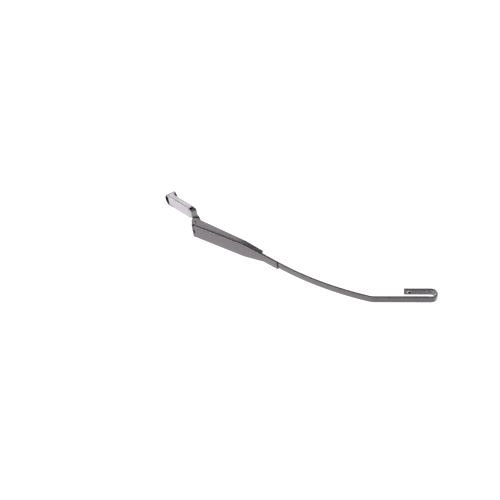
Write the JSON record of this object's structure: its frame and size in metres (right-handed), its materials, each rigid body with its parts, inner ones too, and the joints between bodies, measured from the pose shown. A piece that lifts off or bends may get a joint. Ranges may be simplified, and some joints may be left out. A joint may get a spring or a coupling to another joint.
{
  "type": "wiper arm",
  "caption": "Slim wiper arm: cast head with spindle bore and flip-up nut cover, sprung hinge, pressed channel crimped on a curved flat rod with a hook for the blade.",
  "frame": {"origin": "on the spindle axis, at the underside of the head's boss", "axes": "+Z along the spindle away from the glass, +X along the arm from the spindle to the hook"},
  "size_m": [0.3306, 0.0202, 0.0897],
  "materials": {
    "arm_paint": "semi-gloss grey paint on steel",
    "head_casting": "cast, tumbled, clear coated",
    "cover_silver": "light silver, satin",
    "seal_rubber": "moulded, matt",
    "pin_steel": "zinc plated",
    "spring_steel": "drawn wire, oiled",
    "bush_plastic": "moulded"
  },
  "bodies": {
    "head": {"mounting_head": "head_casting", "cover_pin": "pin_steel", "end_seal": "seal_rubber", "link_pin": "pin_steel", "hinge_bushes": "bush_plastic"},
    "cover": {"nut_cover": "cover_silver"},
    "arm": {"retainer": "arm_paint", "rod": "arm_paint", "hinge_pin": "arm_paint", "anchor_pin": "pin_steel", "tension_spring": "spring_steel"},
    "link": {"spring_link": "pin_steel"}
  },
  "joints": [
    {"name": "cover_hinge", "type": "hinge", "parent": "head", "child": "cover", "pos_m": [0.0309, 0, 0.0064], "axis": [0, 1, 0], "range_deg": [0, 85]},
    {"name": "arm_hinge", "type": "hinge", "parent": "head", "child": "arm", "pos_m": [0.05096, 0, 0.02005], "axis": [0, -1, 0], "range_deg": [0, 65], "stiffness_Nm_per_rad": 0.15, "springref_deg": -171.89},
    {"name": "link_slide", "type": "slide", "parent": "arm", "child": "link", "axis": [0.9944, 0, -0.1054], "range_m": [-0.005, 0], "deforming": ["tension_spring"]}
  ],
  "couplings": [
    {"joint": "link_slide", "follows": "arm_hinge", "m_per_rad": -0.00427}
  ]
}
